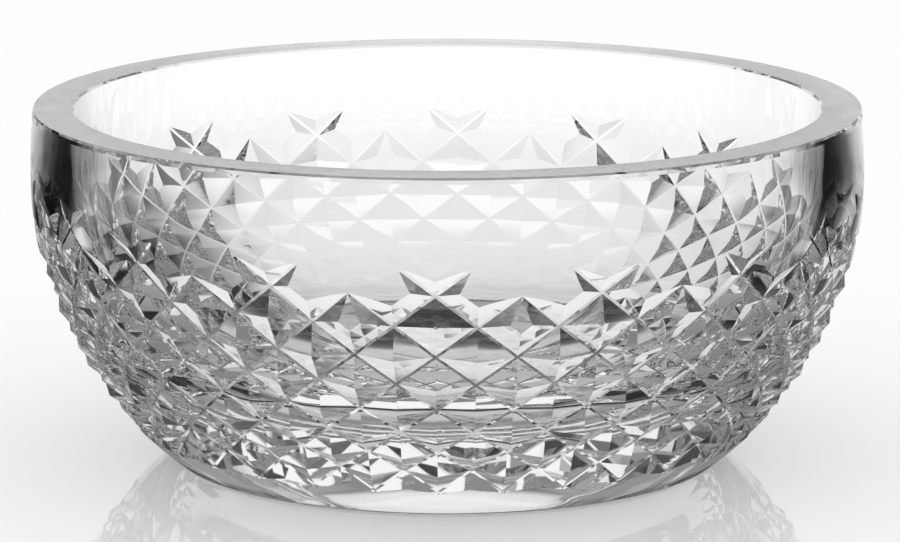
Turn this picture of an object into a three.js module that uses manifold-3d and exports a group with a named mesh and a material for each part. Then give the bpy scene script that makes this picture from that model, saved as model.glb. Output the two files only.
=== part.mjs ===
// Round bowl of clear lead crystal with an all-over diamond cut.
// The blank is a thick turned form. Two families of V grooves, one leaning each way, cross on it
// and leave rows of four-sided pyramids. Every other groove runs on above the top row and fades
// out there, so that a row of crosses stands between the low peaks of the grooves in between.
// Millimetres, +Z up. The origin is the centre of the flat foot.

import * as THREE from 'three';
import { mergeVertices } from 'three/addons/utils/BufferGeometryUtils.js';
import Module from 'manifold-3d';

// The blank: outside
const bowlHeight = 86.3;
const bellyRadius = 101.5; // widest ring of the outside
const bellyDrop = 17.1; // from the rim down to the widest ring
const rimInset = 0.6; // how much the outside draws in again at the rim
const footRadius = 66.7; // flat ground foot

// The blank: rim and inside
const rimWidth = 10.1; // flat ground top face with its two bevels
const outerBevelHeight = 1.4;
const outerBevelWidth = 0.45;
const innerBevel = 0.5;
const wallThickness = 10; // at the widest ring of the inside
const insideDrop = 16.3; // from the rim down to that ring
const floorThickness = 20.2;
const floorRadius = 51; // flat middle of the inside

// The cut
const grooveCount = 32; // grooves in each family
const crossingDrop = 27.5; // from the rim down to the first ring of crossings
const grooveLean = 38.8; // degrees between a groove and the level
const wheelAngle = 135; // degrees between the two faces of the wheel
const valleyWidth = 0.4; // blunt edge of the wheel
const tipLoss = 0.15; // skin that goes from the tip of each finished pyramid
const plainBand = 11; // usual uncut width along the skin above the foot

// The rings were marked by hand: they lie a little high, most at the back left.
const riseLevel = 1.2;
const riseBack = 1.4; // +Y side
const riseLeft = 1.4; // -X side
const riseFade = 0.65; // share of it that is gone at the foot

// The top of the cut. Depths are shares of the full depth, places are shares of a row.
const crossDepth = 0.89; // depth where two long grooves cross
const armReach = 0.375; // half width of a cross, in groove spacings
const armRise = 0.8; // height of its tips above the crossing, in rows
const notchRise = 0.455; // height of the notch between the arms
const shoulderReach = 0.2625; // where an arm meets the next groove, in groove spacings
const shoulderRise = 0.16;
const spikeDrop = 0.31; // how far the plain glass reaches down between two grooves
const peakRise = 0.09; // where a short groove starts above its crossing
const pointedStart = 0.1; // width there, as a share of the valley's
const kiteReach = 0.155; // half width of the plain kite under a short groove's peak
const kiteDrop = 0.81; // height of its corners
const crossTipDrop = 0.86; // tip of the first pyramid under a cross
const crossTipFlat = 0.06; // its small flat, as a share of the depth

// The bottom of the cut
const lastRise = 0.23; // how far the plain base rises between two groove ends, in rows
const endDepth = 0.06; // depth left at the lower end of a groove

// Facets of the turned form
const turnSteps = 96;
const sideSteps = 12;
const shoulderSteps = 2;
const neckSteps = 3;
const insideSteps = 14;
const skinClearance = 20; // the cut form stands clear of the blank by this much at both ends

const wasm = await Module();
wasm.setup();

const degrees = Math.PI / 180;
const spacing = (2 * Math.PI) / grooveCount; // angle between two crossings of a ring
const bellyHeight = bowlHeight - bellyDrop;
const insideRadius = bellyRadius - wallThickness;
const insideHeight = bowlHeight - insideDrop;

// Radius of the arc that leaves the widest ring upright and draws in by `inset` over `rise`.
function arcRadius(inset, rise) {
  return (inset * inset + rise * rise) / (2 * inset);
}
const sideArc = arcRadius(bellyRadius - footRadius, bellyHeight);
const shoulderArc = arcRadius(rimInset, bellyDrop);
const footAngle = Math.asin(bellyHeight / sideArc);

// The outside skin at a distance below the widest ring, measured along the skin.
function skin(distance) {
  const arc = distance > 0 ? sideArc : shoulderArc;
  const angle = distance / arc;
  return {
    radius: bellyRadius - arc * (1 - Math.cos(angle)),
    height: bellyHeight - arc * Math.sin(angle),
    outward: Math.cos(angle),
    upward: -Math.sin(angle),
  };
}

// The blank is one closed outline turned round the axis.
function blankOutline() {
  const points = [new THREE.Vector2(0, 0)];
  for (let i = 0; i <= sideSteps; i += 1) {
    const side = skin(sideArc * footAngle * (1 - i / sideSteps));
    points.push(new THREE.Vector2(side.radius, side.height));
  }
  points[1].set(footRadius, 0);
  const bevelAngle = Math.asin((bellyDrop - outerBevelHeight) / shoulderArc);
  for (let i = 1; i <= shoulderSteps; i += 1) {
    const shoulder = skin(-shoulderArc * bevelAngle * (i / shoulderSteps));
    points.push(new THREE.Vector2(shoulder.radius, shoulder.height));
  }
  const rimRadius = bellyRadius - rimInset;
  const innerRadius = rimRadius - rimWidth;
  points.push(new THREE.Vector2(rimRadius - outerBevelWidth, bowlHeight));
  points.push(new THREE.Vector2(innerRadius + innerBevel, bowlHeight));
  points.push(new THREE.Vector2(innerRadius, bowlHeight - innerBevel));
  const neckInset = insideRadius - innerRadius;
  const neckRise = bowlHeight - innerBevel - insideHeight;
  for (let i = 1; i < neckSteps; i += 1) {
    const up = 1 - i / neckSteps;
    points.push(new THREE.Vector2(
      insideRadius - neckInset * up * up,
      insideHeight + neckRise * up,
    ));
  }
  const reach = insideRadius - floorRadius;
  const drop = insideHeight - floorThickness;
  for (let i = 0; i <= insideSteps; i += 1) {
    const angle = (Math.PI / 2) * (i / insideSteps);
    points.push(new THREE.Vector2(
      floorRadius + reach * Math.cos(angle),
      insideHeight - drop * Math.sin(angle),
    ));
  }
  points.push(new THREE.Vector2(0, floorThickness));
  return points;
}

// Rings of crossings. A groove keeps its lean, so the rings close up as the bowl draws in.
const ringDistance = [];
const crossingHeight = bowlHeight - crossingDrop;
let nextRing = sideArc * Math.asin((bellyHeight - crossingHeight) / sideArc);
const halfRow = (distance) => skin(distance).radius * (spacing / 2);
const rowStep = (distance) => halfRow(distance) * Math.tan(grooveLean * degrees);
const lastRing = sideArc * footAngle - plainBand;
while (ringDistance.length === 0 || nextRing <= lastRing) {
  ringDistance.push(nextRing);
  nextRing += rowStep(nextRing);
}
const rows = ringDistance.length - 1;

// Distance along the skin of any row number, also between rings and past both ends.
function rowDistance(row) {
  const low = Math.min(Math.max(Math.floor(row), 0), rows);
  const start = ringDistance[low];
  const step = low < rows ? ringDistance[low + 1] - start : rowStep(start);
  return start + (row - low) * step;
}

// Depth that brings the faces of two neighbouring grooves together at the skin.
function fullDepth(row) {
  const halfGap = halfRow(rowDistance(row)) * Math.sin(grooveLean * degrees);
  return halfGap / Math.tan((wheelAngle / 2) * degrees);
}

// A point of the cut form: `turn` in groove spacings, `row` in rings, `lift` off the skin.
function place(turn, row, lift) {
  const angle = turn * spacing;
  const rise = riseLevel + riseBack * Math.sin(angle) - riseLeft * Math.cos(angle);
  const kept = 1 - riseFade * Math.min(Math.max(row, 0), rows) / rows;
  const at = skin(rowDistance(row) - rise * kept);
  const radius = at.radius + at.outward * lift;
  return new THREE.Vector3(
    radius * Math.cos(angle),
    radius * Math.sin(angle),
    at.height + at.upward * lift,
  );
}

const isLong = (turn) => Math.round(turn) % 2 === 0;
const topDepth = fullDepth(0);

// Where the bottoms of two grooves cross.
function crossing(turn, row) {
  if (row < 0) {
    const beyond = 0.5 / armReach;
    return { row: -armRise * beyond, lift: topDepth * crossDepth * (beyond - 1) };
  }
  if (row === 0 && isLong(turn)) return { row: 0, lift: -topDepth * crossDepth };
  if (row === 0) return { row: -peakRise, lift: 0 };
  if (row < rows) return { row, lift: -fullDepth(row) };
  if (row === rows) return { row, lift: -fullDepth(row) * endDepth };
  return { row, lift: fullDepth(rows) };
}

// The tip of the pyramid between four crossings. A tip that stands off the skin is a guide point:
// the blank ends below it, and plain glass is left there.
function tip(turn, row) {
  if (row < 0) return { row: -1, lift: topDepth * crossDepth * (1 / notchRise - 1) };
  if (row === 0) {
    const tipRow = (-shoulderRise * 0.5) / shoulderReach;
    return { row: tipRow, lift: fullDepth(1) * ((1 - tipRow) / (1 - spikeDrop) - 1) };
  }
  if (row === 1 && isLong(turn)) return { row: crossTipDrop, lift: fullDepth(1) * crossTipFlat };
  if (row === 1) {
    const beyond = 0.5 / (0.5 - kiteReach);
    return { row: 1 - (1 - kiteDrop) * beyond, lift: fullDepth(1) * (beyond - 1) };
  }
  if (row < rows) return { row, lift: -tipLoss };
  if (row === rows) return { row, lift: fullDepth(rows) * (1 / (1 - lastRise) - 1) };
  return { row, lift: 2 * fullDepth(rows) };
}

// The cut form: a closed body whose side is the whole cut. Every crossing is a small blunt
// diamond, every groove bottom a narrow strip between two crossings.
function cutForm() {
  const positions = [];
  const addFace = (...points) => {
    for (let i = 1; i + 1 < points.length; i += 1) {
      for (const point of [points[0], points[i], points[i + 1]]) positions.push(...point.toArray());
    }
  };
  const blunt = (turn, row) => {
    const middle = crossing(turn, row);
    const distance = rowDistance(row);
    const half = (valleyWidth / 2) * (row === 0 && !isLong(turn) ? pointedStart : 1);
    const across = half / Math.sin(grooveLean * degrees) / (2 * halfRow(distance));
    const along = half / Math.cos(grooveLean * degrees) / rowStep(distance);
    return {
      top: place(turn, middle.row - along, middle.lift),
      bottom: place(turn, middle.row + along, middle.lift),
      left: place(turn - across, middle.row, middle.lift),
      right: place(turn + across, middle.row, middle.lift),
    };
  };
  const rings = [];
  for (let row = -1; row <= rows + 1; row += 1) {
    const shift = row % 2 === 0 ? 0 : 0.5;
    const ring = [];
    for (let k = 0; k < grooveCount; k += 1) {
      const centre = tip(k + 0.5 - shift, row);
      ring.push({
        cross: blunt(k + shift, row),
        tip: place(k + 0.5 - shift, centre.row, centre.lift),
      });
    }
    rings.push(ring);
  }
  const wrap = (k) => (k + grooveCount) % grooveCount;
  const upperEdge = [];
  const lowerEdge = [];
  rings.forEach((ring, index) => {
    const shift = index % 2 === 0 ? 1 : 0; // rings -1, 1, 3 ... start half a spacing on
    for (let k = 0; k < grooveCount; k += 1) {
      const here = ring[k];
      const leftCross = ring[wrap(k - shift)].cross;
      const rightCross = ring[wrap(k - shift + 1)].cross;
      const peak = here.tip;
      addFace(here.cross.top, here.cross.left, here.cross.bottom, here.cross.right);
      if (index > 0) {
        const above = rings[index - 1][k].cross;
        addFace(peak, above.bottom, leftCross.right);
        addFace(peak, rightCross.left, above.bottom);
      } else {
        upperEdge.push(peak, rightCross.left, rightCross.top, rightCross.right);
      }
      if (index < rings.length - 1) {
        const below = rings[index + 1];
        addFace(peak, leftCross.right, below[k].cross.top);
        addFace(peak, below[k].cross.top, rightCross.left);
        const lower = below[wrap(k + shift - 1)].cross;
        const onward = below[wrap(k + shift)].cross;
        addFace(here.cross.left, lower.top, lower.right, here.cross.bottom);
        addFace(here.cross.bottom, onward.left, onward.top, here.cross.right);
      } else {
        lowerEdge.push(peak, rightCross.left, rightCross.bottom, rightCross.right);
      }
    }
  });
  const closeEnd = (edge, height, radius, order) => {
    const centre = new THREE.Vector3(0, 0, height);
    edge.forEach((point, i) => {
      const next = edge[(i + 1) % edge.length];
      const out = (p) => {
        const reach = radius ?? Math.hypot(p.x, p.y);
        const angle = Math.atan2(p.y, p.x);
        return new THREE.Vector3(reach * Math.cos(angle), reach * Math.sin(angle), height);
      };
      const wall = [point, next, out(next), out(point)];
      const cap = [centre, out(point), out(next)];
      addFace(...(order > 0 ? wall : wall.reverse()));
      addFace(...(order > 0 ? cap : cap.reverse()));
    });
  };
  closeEnd(upperEdge, bowlHeight + skinClearance, bellyRadius + skinClearance, 1);
  closeEnd(lowerEdge, -skinClearance, undefined, -1);
  const geometry = new THREE.BufferGeometry();
  geometry.setAttribute('position', new THREE.Float32BufferAttribute(positions, 3));
  return geometry;
}

// A closed mesh becomes a solid once its shared points are merged.
function solidOf(geometry) {
  geometry.deleteAttribute('normal');
  geometry.deleteAttribute('uv');
  const merged = mergeVertices(geometry, 1e-4);
  return new wasm.Manifold(new wasm.Mesh({
    numProp: 3,
    vertProperties: new Float32Array(merged.attributes.position.array),
    triVerts: new Uint32Array(merged.index.array),
  }));
}

function geometryOf(solid) {
  const mesh = solid.getMesh();
  const geometry = new THREE.BufferGeometry();
  geometry.setAttribute('position', new THREE.Float32BufferAttribute(mesh.vertProperties, 3));
  geometry.setIndex(new THREE.BufferAttribute(mesh.triVerts, 1));
  const flat = geometry.toNonIndexed();
  flat.computeVertexNormals();
  return flat;
}

// A lathe turns round Y, so it is stood up along Z.
const turned = new THREE.LatheGeometry(blankOutline(), turnSteps).rotateX(Math.PI / 2);
const blank = solidOf(turned);
const cutBowl = blank.intersect(solidOf(cutForm()));

const crystal = new THREE.MeshStandardMaterial({
  color: 0xf4f6f7,
  roughness: 0.02,
  metalness: 0,
  transparent: true,
  opacity: 0.35,
});

const bowl = new THREE.Mesh(geometryOf(cutBowl), crystal);
bowl.name = 'bowl';

const part = new THREE.Group();
part.add(bowl);

export default part;
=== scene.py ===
# A round bowl of clear lead crystal with an all-over diamond cut, on a glossy white table.
# Metres, in the frame of the CAD model: +Z up, the origin in the middle of the flat foot.
import math
import bpy
import numpy as np
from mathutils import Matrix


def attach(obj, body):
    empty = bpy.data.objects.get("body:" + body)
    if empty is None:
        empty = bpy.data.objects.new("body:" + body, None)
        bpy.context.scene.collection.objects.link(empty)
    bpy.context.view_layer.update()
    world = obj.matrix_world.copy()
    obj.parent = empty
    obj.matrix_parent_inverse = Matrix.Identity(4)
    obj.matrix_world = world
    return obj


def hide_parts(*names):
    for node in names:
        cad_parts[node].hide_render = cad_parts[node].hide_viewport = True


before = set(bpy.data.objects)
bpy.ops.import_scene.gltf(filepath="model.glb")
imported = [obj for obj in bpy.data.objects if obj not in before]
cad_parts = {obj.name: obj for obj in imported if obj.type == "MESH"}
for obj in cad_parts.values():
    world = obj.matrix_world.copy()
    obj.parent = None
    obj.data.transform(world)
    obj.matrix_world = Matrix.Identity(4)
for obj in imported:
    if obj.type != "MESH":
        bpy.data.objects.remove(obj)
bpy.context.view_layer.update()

# The blank of the bowl
# A thick bowl of molten lead crystal, blown in a mould, annealed, and turned true before it
# is cut. Its skin is one arc below the widest ring and a flat arc above it. Sizes are in
# millimetres.
MM = 0.001
BOWL_HEIGHT = 86.3
BELLY_RADIUS = 101.5
BELLY_DROP = 17.1
RIM_INSET = 0.6
FOOT_RADIUS = 66.7
RIM_WIDTH = 10.1
OUTER_BEVEL_HEIGHT = 1.4
OUTER_BEVEL_WIDTH = 0.45
BEVEL_TURN_HEIGHT = 0.5
BEVEL_TURN_WIDTH = 0.08
INNER_BEVEL = 0.5
FOOT_ROUND = 1.5
FLOOR_THICKNESS = 20.2
FLOOR_RADIUS = 51.0
INSIDE_RADIUS = 91.5
INSIDE_HEIGHT = 70.0
BELLY_HEIGHT = BOWL_HEIGHT - BELLY_DROP
TURN_STEPS = 288
FOOT_STEPS = 8
SIDE_STEPS = 72
SHOULDER_STEPS = 14
NECK_STEPS = 15
INSIDE_STEPS = 60


def arc_radius(inset, rise):
    """Radius of the arc that starts upright and draws in by inset over rise: half of
    (inset squared plus rise squared) over inset."""
    return (inset * inset + rise * rise) / (2 * inset)


SIDE_ARC = arc_radius(BELLY_RADIUS - FOOT_RADIUS, BELLY_HEIGHT)
SHOULDER_ARC = arc_radius(RIM_INSET, BELLY_DROP)
FOOT_ANGLE = math.asin(BELLY_HEIGHT / SIDE_ARC)


def skin(distance):
    """Radius and height of the outside at a distance along the skin below the widest ring,
    and the outward and upward parts of its normal: a point on the side arc below that ring
    and on the shoulder arc above it, at the angle distance over arc radius."""
    arc = np.where(distance > 0, SIDE_ARC, SHOULDER_ARC)
    angle = distance / arc
    radius = BELLY_RADIUS - arc * (1 - np.cos(angle))
    height = BELLY_HEIGHT - arc * np.sin(angle)
    return radius, height, np.cos(angle), -np.sin(angle)


def new_object(name, points, faces):
    """An object with a mesh of these points in millimetres and these faces."""
    mesh = bpy.data.meshes.new(name)
    mesh.from_pydata((points * MM).tolist(), [], faces.tolist())
    mesh.update()
    made = bpy.data.objects.new(name, mesh)
    bpy.context.scene.collection.objects.link(made)
    return made


def turned_body(name, outline, steps):
    """A closed body: the outline, rows of radius and height from the axis at the bottom to
    the axis at the top, is turned round Z in equal steps and fanned to its two end points."""
    radius = outline[1:-1, 0]
    height = outline[1:-1, 1]
    angle = np.arange(steps) * (2 * math.pi / steps)
    side = np.stack([
        np.outer(radius, np.cos(angle)),
        np.outer(radius, np.sin(angle)),
        np.repeat(height[:, None], steps, 1),
    ], -1).reshape(-1, 3)
    ends = np.array([[0, 0, outline[0, 1]], [0, 0, outline[-1, 1]]])
    rows = len(radius)
    here = np.arange(steps)
    onward = (here + 1) % steps
    start = (np.arange(rows - 1) * steps)[:, None]
    quads = np.stack([start + here, start + onward, start + steps + onward, start + steps + here], -1)
    quads = quads.reshape(-1, 4)
    bottom = np.stack([onward, here, np.full(steps, rows * steps)], -1)
    last = (rows - 1) * steps
    top = np.stack([last + here, last + onward, np.full(steps, rows * steps + 1)], -1)
    tris = np.concatenate([quads[:, [0, 1, 2]], quads[:, [0, 2, 3]], bottom, top])
    return new_object(name, np.concatenate([side, ends]), tris)


side_distance = SIDE_ARC * FOOT_ANGLE * (1 - np.arange(SIDE_STEPS + 1) / SIDE_STEPS)
bevel_angle = math.asin((BELLY_DROP - OUTER_BEVEL_HEIGHT) / SHOULDER_ARC)
shoulder_distance = -SHOULDER_ARC * bevel_angle * (np.arange(1, SHOULDER_STEPS + 1) / SHOULDER_STEPS)
outside = np.stack(skin(np.concatenate([side_distance, shoulder_distance]))[:2], -1)

# A small arc rounds the edge between the flat foot and the side.
foot_turn = math.pi / 2 - FOOT_ANGLE
foot_bend = foot_turn * np.arange(FOOT_STEPS + 1) / FOOT_STEPS
foot_edge = np.stack([
    FOOT_RADIUS + FOOT_ROUND * (np.sin(foot_bend) - math.tan(foot_turn / 2)),
    FOOT_ROUND * (1 - np.cos(foot_bend)),
], -1)

# The outer bevel turns over near its top, and the inner bevel is flat.
rim_radius = BELLY_RADIUS - RIM_INSET
inner_radius = rim_radius - RIM_WIDTH
rim = np.array([
    [rim_radius - BEVEL_TURN_WIDTH, BOWL_HEIGHT - BEVEL_TURN_HEIGHT],
    [rim_radius - OUTER_BEVEL_WIDTH, BOWL_HEIGHT],
    [inner_radius + INNER_BEVEL, BOWL_HEIGHT],
    [inner_radius, BOWL_HEIGHT - INNER_BEVEL],
])

# The neck widens from the rim along a parabola, and a quarter ellipse leads to the floor.
neck_inset = INSIDE_RADIUS - inner_radius
neck_rise = BOWL_HEIGHT - INNER_BEVEL - INSIDE_HEIGHT
neck_fall = np.linspace(0, 1, NECK_STEPS + 1)[1:-1, None]
neck = np.concatenate([
    INSIDE_RADIUS - neck_inset * (1 - neck_fall) ** 2,
    INSIDE_HEIGHT + neck_rise * (1 - neck_fall),
], -1)
inside_angle = (math.pi / 2) * np.arange(INSIDE_STEPS + 1) / INSIDE_STEPS
inside = np.stack([
    FLOOR_RADIUS + (INSIDE_RADIUS - FLOOR_RADIUS) * np.cos(inside_angle),
    INSIDE_HEIGHT - (INSIDE_HEIGHT - FLOOR_THICKNESS) * np.sin(inside_angle),
], -1)
blank_outline = np.concatenate([
    [[0, 0]], foot_edge, outside[1:], rim, neck, inside, [[0, FLOOR_THICKNESS]],
])
bowl = turned_body("crystal_bowl", blank_outline, TURN_STEPS)

# The diamond cut
# Two families of V grooves, cut into the cold blank with a stone wheel and acid polished.
# Every other groove runs on above the top row and fades out, which makes the crosses.
GROOVE_COUNT = 32
CROSSING_DROP = 27.5
VALLEY_WIDTH = 0.68
TIP_LOSS = 0.15
PLAIN_BAND = 11.0
SKIN_CLEARANCE = 20.0
RISE_LEVEL = 1.2
RISE_BACK = 1.4
RISE_LEFT = 1.4
GROOVE_LEAN = math.radians(38.8)
WHEEL_ANGLE = math.radians(135)
SPACING = 2 * math.pi / GROOVE_COUNT

# Shares: of the rise, a depth, a groove spacing, a row or the width of a groove's bottom.
RISE_FADE = 0.65
CROSS_DEPTH = 0.89
ARM_REACH = 0.375
ARM_RISE = 0.8
NOTCH_RISE = 0.455
SHOULDER_REACH = 0.2625
SHOULDER_RISE = 0.16
SPIKE_DROP = 0.31
PEAK_RISE = 0.09
POINTED_START = 0.1
KITE_REACH = 0.155
KITE_DROP = 0.81
CROSS_TIP_DROP = 0.86
CROSS_TIP_FLAT = 0.06
LAST_RISE = 0.23
END_DEPTH = 0.06


def half_row(distance):
    """Half the gap between two crossings of a ring: radius times half the spacing angle."""
    return skin(np.asarray(distance, float))[0] * (SPACING / 2)


def row_step(distance):
    """Distance to the next ring: half the gap times the tangent of the groove's lean."""
    return half_row(distance) * math.tan(GROOVE_LEAN)


ring_distance = []
next_ring = SIDE_ARC * math.asin((BELLY_HEIGHT - (BOWL_HEIGHT - CROSSING_DROP)) / SIDE_ARC)
while not ring_distance or next_ring <= SIDE_ARC * FOOT_ANGLE - PLAIN_BAND:
    ring_distance.append(next_ring)
    next_ring += float(row_step(next_ring))
ring_distance = np.array(ring_distance)
ROWS = len(ring_distance) - 1


def row_distance(row):
    """Distance along the skin of any row number: straight between two rings, and with the
    first or the last step past both ends."""
    low = np.clip(np.floor(row), 0, ROWS).astype(int)
    start = ring_distance[low]
    onward = ring_distance[np.minimum(low + 1, ROWS)] - start
    step = np.where(low < ROWS, onward, row_step(start))
    return start + (row - low) * step


def full_depth(row):
    """Depth at which the faces of two neighbouring grooves meet at the skin: half the gap
    times the sine of the lean, over the tangent of half the wheel's angle."""
    half_gap = half_row(row_distance(np.asarray(row, float))) * math.sin(GROOVE_LEAN)
    return half_gap / math.tan(WHEEL_ANGLE / 2)


def place(turn, row, lift):
    """A point at a turn in groove spacings, a row in rings and a lift off the skin: the skin
    point plus its normal times the lift, turned round Z. The rings were marked by hand and
    rise towards the back and the left, less so towards the foot."""
    angle = turn * SPACING
    rise = RISE_LEVEL + RISE_BACK * np.sin(angle) - RISE_LEFT * np.cos(angle)
    rise = rise * (1 - RISE_FADE * np.clip(row, 0, ROWS) / ROWS)
    radius, height, outward, upward = skin(row_distance(row) - rise)
    reach = radius + outward * lift
    return np.stack([reach * np.cos(angle), reach * np.sin(angle), height + upward * lift], -1)


ring_row = np.arange(-1, ROWS + 2)[:, None]
ring_turn = np.arange(GROOVE_COUNT)[None, :]
shift = np.where(ring_row % 2 == 0, 0.0, 0.5)
cross_turn = ring_turn + shift
tip_turn = ring_turn + 0.5 - shift
row_grid = np.broadcast_to(ring_row, cross_turn.shape).astype(float)
is_long = ring_turn[0] % 2 == 0
depth_here = full_depth(np.clip(row_grid, 0, ROWS))
top_depth = float(full_depth(0.0))
first_depth = float(full_depth(1.0))
last_depth = float(full_depth(float(ROWS)))

# Where the bottoms of two grooves cross: on its ring at the full depth, except at both ends.
arm_beyond = 0.5 / ARM_REACH
cross_row = row_grid.copy()
cross_lift = -depth_here
cross_row[0] = -ARM_RISE * arm_beyond
cross_lift[0] = top_depth * CROSS_DEPTH * (arm_beyond - 1)
cross_row[1] = np.where(is_long, 0, -PEAK_RISE)
cross_lift[1] = np.where(is_long, -top_depth * CROSS_DEPTH, 0)
cross_lift[-2] *= END_DEPTH
cross_lift[-1] *= -1

# The tip of each pyramid. A tip that stands off the skin leaves plain glass below it.
spike_row = -SHOULDER_RISE * 0.5 / SHOULDER_REACH
kite_beyond = 0.5 / (0.5 - KITE_REACH)
tip_row = row_grid.copy()
tip_lift = np.full(tip_row.shape, -TIP_LOSS)
tip_lift[0] = top_depth * CROSS_DEPTH * (1 / NOTCH_RISE - 1)
tip_row[1] = spike_row
tip_lift[1] = first_depth * ((1 - spike_row) / (1 - SPIKE_DROP) - 1)
tip_row[2] = np.where(is_long, CROSS_TIP_DROP, 1 - (1 - KITE_DROP) * kite_beyond)
tip_lift[2] = np.where(is_long, first_depth * CROSS_TIP_FLAT, first_depth * (kite_beyond - 1))
tip_lift[-2] = last_depth * (1 / (1 - LAST_RISE) - 1)
tip_lift[-1] = 2 * last_depth

# Each crossing is a small blunt diamond as wide as the groove's bottom.
half_width = np.full(cross_row.shape, VALLEY_WIDTH / 2)
half_width[1] *= np.where(is_long, 1, POINTED_START)
ring_at = row_distance(row_grid)
across = half_width / math.sin(GROOVE_LEAN) / (2 * half_row(ring_at))
along = half_width / math.cos(GROOVE_LEAN) / row_step(ring_at)
cut_points = np.stack([
    place(cross_turn, cross_row - along, cross_lift),
    place(cross_turn, cross_row + along, cross_lift),
    place(cross_turn - across, cross_row, cross_lift),
    place(cross_turn + across, cross_row, cross_lift),
    place(tip_turn, tip_row, tip_lift),
], 2)
CORNERS = 5
TOP, BOTTOM, LEFT, RIGHT, TIP = range(CORNERS)
RING_COUNT = ROWS + 3


def number(ring, turn, corner):
    """Number of a point of the cut form in its list."""
    return (ring * GROOVE_COUNT + turn % GROOVE_COUNT) * CORNERS + corner


def face(*corners):
    """Faces, one to a row, out of whole arrays of point numbers, fanned from their first."""
    grid = np.stack(np.broadcast_arrays(*corners), -1).reshape(-1, len(corners))
    return np.concatenate([grid[:, [0, i, i + 1]] for i in range(1, len(corners) - 1)])


ring_no = np.arange(RING_COUNT)[:, None]
back = np.where(ring_no % 2 == 0, 1, 0)
tip_no = number(ring_no, ring_turn, TIP)
left_no = number(ring_no, ring_turn - back, RIGHT)
right_no = number(ring_no, ring_turn - back + 1, LEFT)
own = [number(ring_no, ring_turn, corner) for corner in (TOP, LEFT, BOTTOM, RIGHT)]
upper_no = ring_no[:-1]
lower_no = upper_no + 1
above_no = number(upper_no, ring_turn, BOTTOM)
below_no = number(lower_no, ring_turn, TOP)
lower_turn = ring_turn + back[:-1] - 1
onward_turn = ring_turn + back[:-1]
cut_faces = [
    face(*own),
    face(tip_no[1:], above_no, left_no[1:]),
    face(tip_no[1:], right_no[1:], above_no),
    face(tip_no[:-1], left_no[:-1], below_no),
    face(tip_no[:-1], below_no, right_no[:-1]),
    face(number(upper_no, ring_turn, LEFT), number(lower_no, lower_turn, TOP),
         number(lower_no, lower_turn, RIGHT), number(upper_no, ring_turn, BOTTOM)),
    face(number(upper_no, ring_turn, BOTTOM), number(lower_no, onward_turn, LEFT),
         number(lower_no, onward_turn, TOP), number(upper_no, ring_turn, RIGHT)),
]

# The form is closed well above and well below the blank: its edge ring is carried out to a
# level ring, and that is fanned to the axis.
all_points = [cut_points.reshape(-1, 3)]


def close_end(ring, middle_corner, level, reach, upward):
    """Points and faces that close one end: the zigzag edge of the last ring, a copy of it
    moved out to a radius, if one is given, and level, and a fan from that to the axis."""
    turns = ring_turn[0]
    step_back = 1 if ring % 2 == 0 else 0
    edge = np.stack([
        number(ring, turns, TIP),
        number(ring, turns - step_back + 1, LEFT),
        number(ring, turns - step_back + 1, middle_corner),
        number(ring, turns - step_back + 1, RIGHT),
    ], -1).reshape(-1)
    at = all_points[0][edge]
    away = np.hypot(at[:, 0], at[:, 1])
    scale = (reach / away) if reach else np.ones(len(edge))
    outer = np.stack([at[:, 0] * scale, at[:, 1] * scale, np.full(len(edge), level)], -1)
    outer_no = sum(len(points) for points in all_points) + np.arange(len(edge))
    centre_no = outer_no[-1] + 1
    all_points.append(np.concatenate([outer, [[0, 0, level]]]))
    wall = [edge, np.roll(edge, -1), np.roll(outer_no, -1), outer_no]
    cap = [np.full(len(edge), centre_no), outer_no, np.roll(outer_no, -1)]
    if not upward:
        wall = wall[::-1]
        cap = cap[::-1]
    cut_faces.append(face(*wall))
    cut_faces.append(face(*cap))


close_end(0, TOP, BOWL_HEIGHT + SKIN_CLEARANCE, BELLY_RADIUS + SKIN_CLEARANCE, True)
close_end(RING_COUNT - 1, BOTTOM, -SKIN_CLEARANCE, None, False)
cut_form = new_object("cut_form", np.concatenate(all_points), np.concatenate(cut_faces))

# Every face that the wheel leaves is marked, for its finish.
polished = cut_form.data.attributes.new("acid_polished", "FLOAT", "FACE")
polished.data.foreach_set("value", np.ones(len(cut_form.data.polygons), np.float32))

# Boolean intersection leaves the blank where it lies inside the cut form.
cutting = bowl.modifiers.new("diamond_cut", "BOOLEAN")
cutting.operation = "INTERSECT"
cutting.solver = "MANIFOLD"
cutting.object = cut_form
cut_mesh = bpy.data.meshes.new_from_object(bowl.evaluated_get(bpy.context.evaluated_depsgraph_get()))
bowl.modifiers.clear()
bowl.data = cut_mesh
cut_mesh.name = "crystal_bowl"
bpy.data.objects.remove(cut_form)

# Turned surfaces are smooth, and facets meet in sharp edges.
SHARP_ANGLE = math.radians(6)
cut_mesh.shade_smooth()
cut_mesh.set_sharp_from_angle(angle=SHARP_ANGLE)

# The crystal
# Clear and colourless lead crystal, with a high index that makes the cut facets flash black
# and white. Acid leaves them a little softer than the plain band, and the rim is ground.
CRYSTAL_TINT = "#fbfcfc"
CRYSTAL_INDEX = 1.545
CUT_ROUGHNESS = 0.035
POLISH_WAVE = 9.0
POLISH_DETAIL = 1.0
POLISH_DEPTH = 0.02
GROUND_START = 0.1
GROUND_FULL = 0.05
GROUND_ROUGHNESS = 0.2
GROUND_DEPTH = 0.12
GRIT_SIZE = 0.8
GRIT_DETAIL = 3.0
FROST_SIZE = 2.4
FROST_DETAIL = 4.0
FROST_THIN = 0.4
FROST_THICK = 0.6
THIN_CLEAR = 1.0
THICK_CLEAR = 0.9


def linear(colour):
    """A linear colour from an sRGB hex: each channel over 255, then the sRGB curve undone."""
    parts = [int(colour[i:i + 2], 16) / 255 for i in (1, 3, 5)]
    return tuple(p / 12.92 if p <= 0.04045 else ((p + 0.055) / 1.055) ** 2.4 for p in parts) + (1.0,)


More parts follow.
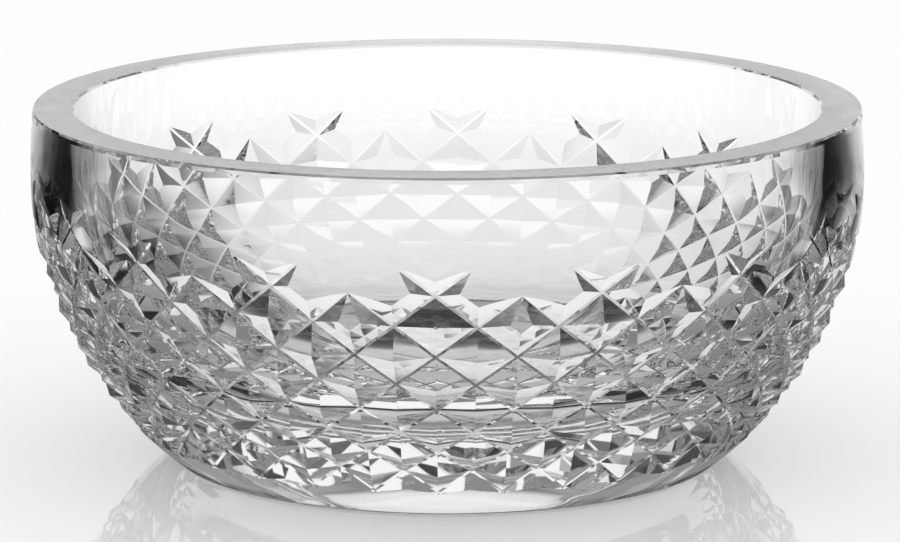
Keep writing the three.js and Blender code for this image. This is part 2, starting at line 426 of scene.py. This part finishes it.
def node(tree, kind, settings=None, inputs=None, out=0):
    """Adds a node. Settings are its attributes, and inputs maps a socket to a constant or to
    the output that feeds it. Gives the node's output of that name or number."""
    made = tree.nodes.new(kind)
    for key, value in (settings or {}).items():
        setattr(made, key, value)
    for key, value in (inputs or {}).items():
        if isinstance(value, bpy.types.NodeSocket):
            tree.links.new(value, made.inputs[key])
        else:
            made.inputs[key].default_value = value
    return made.outputs[out] if made.outputs else None


crystal = bpy.data.materials.new("lead_crystal_acid_polished")
crystal.use_nodes = True
tree = crystal.node_tree
tree.nodes.clear()
where = node(tree, "ShaderNodeTexCoord", out="Object")
height = node(tree, "ShaderNodeSeparateXYZ", None, {"Vector": where}, "Z")

# Only the flat face of the rim is ground: 1 at the top of the bowl and 0 just below it.
ground = node(tree, "ShaderNodeMapRange", None, {
    "Value": height, "From Min": (BOWL_HEIGHT - GROUND_START) * MM,
    "From Max": (BOWL_HEIGHT - GROUND_FULL) * MM,
})
cut_mark = node(tree, "ShaderNodeAttribute", {"attribute_name": "acid_polished"}, None, "Fac")
cut_finish = node(tree, "ShaderNodeMath", {"operation": "MULTIPLY"}, {0: cut_mark, 1: CUT_ROUGHNESS})
roughness = node(tree, "ShaderNodeMapRange", None, {
    "Value": ground, "To Min": cut_finish, "To Max": GROUND_ROUGHNESS,
})

# Polishing leaves long soft waves everywhere, and grinding leaves pits on the rim. Real pits
# are under a tenth of a millimetre, too fine to show, so they are drawn GRIT_SIZE wide.
wave = node(tree, "ShaderNodeTexNoise", None, {
    "Vector": where, "Scale": 1 / (POLISH_WAVE * MM), "Detail": POLISH_DETAIL,
})
polish = node(tree, "ShaderNodeBump", None, {"Height": wave, "Distance": POLISH_DEPTH * MM})
grit = node(tree, "ShaderNodeTexNoise", None, {
    "Vector": where, "Scale": 1 / (GRIT_SIZE * MM), "Detail": GRIT_DETAIL,
})
grinding = node(tree, "ShaderNodeBump", None, {
    "Height": grit, "Strength": ground, "Distance": GROUND_DEPTH * MM, "Normal": polish,
})

# The ground face is a little frosted in soft spots.
cloud = node(tree, "ShaderNodeTexNoise", None, {
    "Vector": where, "Scale": 1 / (FROST_SIZE * MM), "Detail": FROST_DETAIL,
})
frost = node(tree, "ShaderNodeMapRange", None, {
    "Value": cloud, "From Min": FROST_THIN, "From Max": FROST_THICK,
    "To Min": THIN_CLEAR, "To Max": THICK_CLEAR,
})
clear = node(tree, "ShaderNodeMapRange", None, {"Value": ground, "To Min": 1.0, "To Max": frost})
glass = node(tree, "ShaderNodeBsdfPrincipled", None, {
    "Base Color": linear(CRYSTAL_TINT), "IOR": CRYSTAL_INDEX, "Transmission Weight": clear,
    "Roughness": roughness, "Normal": grinding,
})
node(tree, "ShaderNodeOutputMaterial", None, {"Surface": glass})
cut_mesh.materials.clear()
cut_mesh.materials.append(crystal)
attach(bowl, "root")
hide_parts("bowl")

# The table
# A glossy white acrylic sheet. It mirrors the bowl faintly and keeps its soft shadow. To rays
# through the bowl's glass it glows with painted light and shade instead: a painted lit strip
# behind the bowl, painted dim sides and painted shade under its foot.
TABLE_SIZE = 6.0
AIR_GAP = 0.0001
corner = np.array([[-1, -1], [1, -1], [1, 1], [-1, 1]]) * (TABLE_SIZE / 2)
table_mesh = bpy.data.meshes.new("table")
table_mesh.from_pydata([(x, y, -AIR_GAP) for x, y in corner.tolist()], [], [(0, 1, 2, 3)])
table = bpy.data.objects.new("table", table_mesh)
bpy.context.scene.collection.objects.link(table)
SMOOTH = {"interpolation_type": "SMOOTHSTEP"}
DEGREE = math.pi / 180


def turned_from_back(tree, at):
    """Degrees that a position or a direction is turned from straight behind the bowl,
    positive to the right: the arc tangent of its X over its Y."""
    east = node(tree, "ShaderNodeSeparateXYZ", None, {"Vector": at}, "X")
    north = node(tree, "ShaderNodeSeparateXYZ", None, {"Vector": at}, "Y")
    angle = node(tree, "ShaderNodeMath", {"operation": "ARCTAN2"}, {0: east, 1: north})
    return node(tree, "ShaderNodeMath", {"operation": "DIVIDE"}, {0: angle, 1: DEGREE})


def turned_beside(tree, bearing, middle):
    """Degrees between a bearing and a middle, to either side."""
    off_middle = node(tree, "ShaderNodeMath", {"operation": "SUBTRACT"}, {0: bearing, 1: middle})
    return node(tree, "ShaderNodeMath", {"operation": "ABSOLUTE"}, {0: off_middle})


def seen_by_glass(tree):
    """1 for rays that came by a mirror or through glass, and 0 for the camera's own and for
    diffuse ones: Is Glossy Ray plus Is Transmission Ray, at most 1."""
    glossy_ray = node(tree, "ShaderNodeLightPath", out="Is Glossy Ray")
    clear_ray = node(tree, "ShaderNodeLightPath", out="Is Transmission Ray")
    return node(tree, "ShaderNodeMath", {"operation": "ADD", "use_clamp": True}, {
        0: glossy_ray, 1: clear_ray,
    })


table_top = bpy.data.materials.new("white_acrylic_polished")
table_top.use_nodes = True
tree = table_top.node_tree
tree.nodes.clear()
spot = node(tree, "ShaderNodeTexCoord", out="Object")
away = node(tree, "ShaderNodeVectorMath", {"operation": "LENGTH"}, {0: spot}, "Value")
bearing = turned_from_back(tree, spot)
turned = node(tree, "ShaderNodeMath", {"operation": "ABSOLUTE"}, {0: bearing})
facing = node(tree, "ShaderNodeLayerWeight", out="Facing")

# From here down, distances are in metres from the bowl's axis, turns in degrees from straight
# behind it, and levels of light are multiples of white.

# A painted lit strip glows behind the bowl for rays through the glass. It gets brighter and
# narrower with distance. Near the bowl it lies a little to the right.
STRIP_SHIFT = 10.0
SHIFT_FULL = 0.22
SHIFT_GONE = 0.4
STRIP_AT_FOOT = 0.72
STRIP_NEAR = 0.9
STRIP_FAR = 1.12
FOOT_LIGHT_START = 0.07
FOOT_LIGHT_END = 0.12
FAR_LIGHT_START = 0.25
FAR_LIGHT_END = 0.6
NARROWS_FROM = 0.1
NARROWS_TO = 0.45
CORE_NEAR = 33.0
CORE_FAR = 18.0
EDGE_NEAR = 60.0
EDGE_FAR = 37.0
strip_shift = node(tree, "ShaderNodeMapRange", SMOOTH, {
    "Value": away, "From Min": SHIFT_FULL, "From Max": SHIFT_GONE,
    "To Min": STRIP_SHIFT, "To Max": 0.0,
})
strip_turned = turned_beside(tree, bearing, strip_shift)
strip_near = node(tree, "ShaderNodeMapRange", SMOOTH, {
    "Value": away, "From Min": FOOT_LIGHT_START, "From Max": FOOT_LIGHT_END,
    "To Min": STRIP_AT_FOOT, "To Max": STRIP_NEAR,
})
painted_lit_strip = node(tree, "ShaderNodeMapRange", SMOOTH, {
    "Value": away, "From Min": FAR_LIGHT_START, "From Max": FAR_LIGHT_END,
    "To Min": strip_near, "To Max": STRIP_FAR,
})
strip_core = node(tree, "ShaderNodeMapRange", None, {
    "Value": away, "From Min": NARROWS_FROM, "From Max": NARROWS_TO,
    "To Min": CORE_NEAR, "To Max": CORE_FAR,
})
strip_edge = node(tree, "ShaderNodeMapRange", None, {
    "Value": away, "From Min": NARROWS_FROM, "From Max": NARROWS_TO,
    "To Min": EDGE_NEAR, "To Max": EDGE_FAR,
})

# The painted sides are dim close to the bowl and dark beyond, but for a painted window straight
# to each side. Seen at a low angle the sheet shows a painted reflection of the dark flags. Seen
# steeply it is painted pale there.
WINDOW_OPENS = 66.0
WINDOW_OPEN = 76.0
WINDOW_CLOSES = 104.0
WINDOW_SHUT = 114.0
PAINTED_FLAG_LEVEL = 0.012
WINDOW_START = 0.28
WINDOW_FULL = 0.42
PAINTED_WINDOW_LEVEL = 0.85
SIDE_STEEP_UNTIL = 0.48
SIDE_LOW_FROM = 0.58
SIDE_STEEP = 0.45
SIDE_NEAR = 0.24
SIDE_START = 0.09
SIDE_FULL = 0.2
window_low = node(tree, "ShaderNodeMapRange", SMOOTH, {
    "Value": turned, "From Min": WINDOW_OPENS, "From Max": WINDOW_OPEN,
    "To Min": PAINTED_FLAG_LEVEL, "To Max": 1.0,
})
window = node(tree, "ShaderNodeMapRange", SMOOTH, {
    "Value": turned, "From Min": WINDOW_CLOSES, "From Max": WINDOW_SHUT,
    "To Min": window_low, "To Max": 0.0,
})
window_far = node(tree, "ShaderNodeMapRange", SMOOTH, {
    "Value": away, "From Min": WINDOW_START, "From Max": WINDOW_FULL,
    "To Min": 0.0, "To Max": PAINTED_WINDOW_LEVEL,
})
painted_flags_and_windows = node(tree, "ShaderNodeMath", {"operation": "MULTIPLY"}, {0: window, 1: window_far})
beside_far = node(tree, "ShaderNodeMapRange", SMOOTH, {
    "Value": facing, "From Min": SIDE_STEEP_UNTIL, "From Max": SIDE_LOW_FROM,
    "To Min": SIDE_STEEP, "To Max": painted_flags_and_windows,
})
beside = node(tree, "ShaderNodeMapRange", SMOOTH, {
    "Value": away, "From Min": SIDE_START, "From Max": SIDE_FULL,
    "To Min": SIDE_NEAR, "To Max": beside_far,
})

# In front the painted light is pale beside the foot, dim a little further out, and white
# towards the camera.
FRONT_AT_FOOT = 0.5
FRONT_NEAR = 0.2
FRONT_FAR = 0.95
FRONT_DIMS_FROM = 0.085
FRONT_DIMS_TO = 0.105
FRONT_LIT_FROM = 0.2
FRONT_LIT_TO = 0.4
FRONT_TURN_START = 108.0
FRONT_TURN_FULL = 132.0
front_near = node(tree, "ShaderNodeMapRange", SMOOTH, {
    "Value": away, "From Min": FRONT_DIMS_FROM, "From Max": FRONT_DIMS_TO,
    "To Min": FRONT_AT_FOOT, "To Max": FRONT_NEAR,
})
front = node(tree, "ShaderNodeMapRange", SMOOTH, {
    "Value": away, "From Min": FRONT_LIT_FROM, "From Max": FRONT_LIT_TO,
    "To Min": front_near, "To Max": FRONT_FAR,
})
around = node(tree, "ShaderNodeMapRange", SMOOTH, {
    "Value": turned, "From Min": FRONT_TURN_START, "From Max": FRONT_TURN_FULL,
    "To Min": beside, "To Max": front,
})
outside_foot = node(tree, "ShaderNodeMapRange", SMOOTH, {
    "Value": strip_turned, "From Min": strip_core, "From Max": strip_edge,
    "To Min": painted_lit_strip, "To Max": around,
})

# A painted contact shadow makes the foot's edge dark from every side. Seen at a low angle,
# painted shade darkens the middle of the foot too, with a little painted light in the ring
# between. Seen steeply, all inside the edge is painted pale grey.
SHADE_STRETCH = (1.0, 1.3, 0.0)
SHADE_OFFSET = (0.0, 0.01, 0.0)
SHADE_CORE = 0.034
SHADE_EDGE = 0.052
FOOT_RING = 0.28
FOOT_STEEP = 0.6
FOOT_STEEP_UNTIL = 0.25
FOOT_LOW_FROM = 0.37
CONTACT_START = 0.064
CONTACT_FULL = 0.066
CONTACT_LEFT = 0.0675
CONTACT_GONE = 0.069
shade_place = node(tree, "ShaderNodeVectorMath", {"operation": "MULTIPLY_ADD"}, {
    0: spot, 1: SHADE_STRETCH, 2: SHADE_OFFSET,
})
shade_reach = node(tree, "ShaderNodeVectorMath", {"operation": "LENGTH"}, {0: shade_place}, "Value")
painted_foot_shade = node(tree, "ShaderNodeMapRange", SMOOTH, {
    "Value": shade_reach, "From Min": SHADE_CORE, "From Max": SHADE_EDGE,
    "To Min": 0.0, "To Max": FOOT_RING,
})
under_foot = node(tree, "ShaderNodeMapRange", SMOOTH, {
    "Value": facing, "From Min": FOOT_STEEP_UNTIL, "From Max": FOOT_LOW_FROM,
    "To Min": FOOT_STEEP, "To Max": painted_foot_shade,
})
painted_contact_shadow = node(tree, "ShaderNodeMapRange", SMOOTH, {
    "Value": away, "From Min": CONTACT_START, "From Max": CONTACT_FULL,
    "To Min": under_foot, "To Max": 0.0,
})
painted_light_level = node(tree, "ShaderNodeMapRange", SMOOTH, {
    "Value": away, "From Min": CONTACT_LEFT, "From Max": CONTACT_GONE,
    "To Min": painted_contact_shadow, "To Max": outside_foot,
})
# The table's glow for rays through the glass: painted light and shade.
painted_glow = node(tree, "ShaderNodeEmission", None, {"Strength": painted_light_level})

# Seen by the camera it is white acrylic: pale, with the bowl's shadow and its faint mirror
# image, which fades further out.
TABLE_WHITE = "#d8d8d8"
TABLE_GLOW = 0.3
TABLE_ROUGHNESS = 0.03
ACRYLIC_INDEX = 1.49
MIRROR_FULL = 0.35
MIRROR_GONE = 0.7
glow = node(tree, "ShaderNodeEmission", None, {"Strength": TABLE_GLOW})
body = node(tree, "ShaderNodeBsdfDiffuse", None, {"Color": linear(TABLE_WHITE)})
lit = node(tree, "ShaderNodeAddShader", None, {0: glow, 1: body})
gloss = node(tree, "ShaderNodeBsdfGlossy", None, {"Color": (1, 1, 1, 1), "Roughness": TABLE_ROUGHNESS})
fresnel = node(tree, "ShaderNodeFresnel", None, {"IOR": ACRYLIC_INDEX})
mirror = node(tree, "ShaderNodeMapRange", SMOOTH, {
    "Value": away, "From Min": MIRROR_FULL, "From Max": MIRROR_GONE,
    "To Min": fresnel, "To Max": 0.0,
})
sheet = node(tree, "ShaderNodeMixShader", None, {0: mirror, 1: lit, 2: gloss})
in_glass = seen_by_glass(tree)
# Rays through the glass see the painted glow, and the camera sees the lit sheet.
surface = node(tree, "ShaderNodeMixShader", None, {0: in_glass, 1: sheet, 2: painted_glow})
node(tree, "ShaderNodeOutputMaterial", None, {"Surface": surface})
table_mesh.materials.append(table_top)

# The light
# A plain white studio. The glass shows its bright backdrop, dark flags beside it that draw
# the cut, a soft box high above it, a dim ceiling, and low light from in front and from
# windows straight to each side. Heights are in degrees above the table.
STUDIO_LEVEL = 1.0
BACKDROP_SHIFT = 2.0
BACKDROP_CORE = 17.0
BACKDROP_EDGE = 29.0
BACKDROP_LEVEL = 1.0
BACKDROP_TOP = 24.0
GAP_START = 30.0
GAP_LEVEL = 0.1
HIGH_START = 46.0
HIGH_FULL = 54.0
HIGH_BOX = 0.4
HIGH_CEILING = 0.24
CEILING_START = 20.0
CEILING_FULL = 36.0
CEILING_LOW = 0.015
CEILING_LEVEL = 0.26
STUDIO_FLAG = 0.008
STUDIO_WINDOW = 0.6
FRONT_LIGHT_START = 112.0
FRONT_LIGHT_FULL = 130.0
FRONT_LIGHT = 0.8
LOW_LIGHT_TOP = 5.0
LOW_LIGHT_GONE = 14.0
world = bpy.data.worlds.new("studio")
bpy.context.scene.world = world
world.use_nodes = True
tree = world.node_tree
tree.nodes.clear()
direction = node(tree, "ShaderNodeTexCoord", out="Generated")
bearing = turned_from_back(tree, direction)
turned = node(tree, "ShaderNodeMath", {"operation": "ABSOLUTE"}, {0: bearing})
up = node(tree, "ShaderNodeSeparateXYZ", None, {"Vector": direction}, "Z")
slope = node(tree, "ShaderNodeMath", {"operation": "ARCSINE"}, {0: up})
risen = node(tree, "ShaderNodeMath", {"operation": "DIVIDE"}, {0: slope, 1: DEGREE})

# All round: the ceiling, and below it the windows and the light in front.
ceiling_low = node(tree, "ShaderNodeMapRange", SMOOTH, {
    "Value": risen, "From Min": CEILING_START, "From Max": CEILING_FULL,
    "To Min": CEILING_LOW, "To Max": CEILING_LEVEL,
})
ceiling = node(tree, "ShaderNodeMapRange", SMOOTH, {
    "Value": risen, "From Min": HIGH_START, "From Max": HIGH_FULL,
    "To Min": ceiling_low, "To Max": HIGH_CEILING,
})
window_low = node(tree, "ShaderNodeMapRange", SMOOTH, {
    "Value": turned, "From Min": WINDOW_OPENS, "From Max": WINDOW_OPEN,
    "To Min": STUDIO_FLAG, "To Max": STUDIO_WINDOW,
})
window = node(tree, "ShaderNodeMapRange", SMOOTH, {
    "Value": turned, "From Min": WINDOW_CLOSES, "From Max": WINDOW_SHUT,
    "To Min": window_low, "To Max": 0.0,
})
front = node(tree, "ShaderNodeMapRange", SMOOTH, {
    "Value": turned, "From Min": FRONT_LIGHT_START, "From Max": FRONT_LIGHT_FULL,
    "To Min": window, "To Max": FRONT_LIGHT,
})
low_lights = node(tree, "ShaderNodeMapRange", SMOOTH, {
    "Value": risen, "From Min": LOW_LIGHT_TOP, "From Max": LOW_LIGHT_GONE,
    "To Min": front, "To Max": 0.0,
})
room = node(tree, "ShaderNodeMath", {"operation": "ADD"}, {0: ceiling, 1: low_lights})

# Behind the bowl: the backdrop, a dim gap above it, and the soft box above that.
backdrop = node(tree, "ShaderNodeMapRange", SMOOTH, {
    "Value": risen, "From Min": BACKDROP_TOP, "From Max": GAP_START,
    "To Min": BACKDROP_LEVEL, "To Max": GAP_LEVEL,
})
high_box = node(tree, "ShaderNodeMapRange", SMOOTH, {
    "Value": risen, "From Min": HIGH_START, "From Max": HIGH_FULL,
    "To Min": backdrop, "To Max": HIGH_BOX,
})
backdrop_turned = turned_beside(tree, bearing, BACKDROP_SHIFT)
studio = node(tree, "ShaderNodeMapRange", SMOOTH, {
    "Value": backdrop_turned, "From Min": BACKDROP_CORE, "From Max": BACKDROP_EDGE,
    "To Min": high_box, "To Max": room,
})
level = node(tree, "ShaderNodeMix", {"data_type": "FLOAT"}, {
    "Factor": seen_by_glass(tree), "A": STUDIO_LEVEL, "B": studio,
})
background = node(tree, "ShaderNodeBackground", None, {"Color": (1, 1, 1, 1), "Strength": level})
node(tree, "ShaderNodeOutputWorld", None, {"Surface": background})

# The camera
# A long lens, twelve rim radii from the middle of the rim and about ten degrees above it.
# Its place in metres and its angles in degrees fit the rim and the foot in the picture.
CAMERA_PLACE = (0.0333, -1.1932, 0.2895)
CAMERA_PITCH = 78.40
CAMERA_TURN = 1.6
LENS_LENGTH = 198.8
SENSOR_WIDTH = 36
LENS_SHIFT = 0.003
VIEW_DEPTH = 20
CLEAR_BOUNCES = 32
GLOSSY_BOUNCES = 16
camera_data = bpy.data.cameras.new("camera")
camera_data.sensor_width = SENSOR_WIDTH
camera_data.lens = LENS_LENGTH
camera_data.shift_x = LENS_SHIFT
camera_data.clip_end = VIEW_DEPTH
camera = bpy.data.objects.new("camera", camera_data)
bpy.context.scene.collection.objects.link(camera)
camera.location = CAMERA_PLACE
camera.rotation_euler = (math.radians(CAMERA_PITCH), 0, math.radians(CAMERA_TURN))
bpy.context.scene.camera = camera
bpy.context.scene.view_settings.view_transform = "Standard"
bpy.context.scene.cycles.max_bounces = CLEAR_BOUNCES
bpy.context.scene.cycles.transmission_bounces = CLEAR_BOUNCES
bpy.context.scene.cycles.glossy_bounces = GLOSSY_BOUNCES
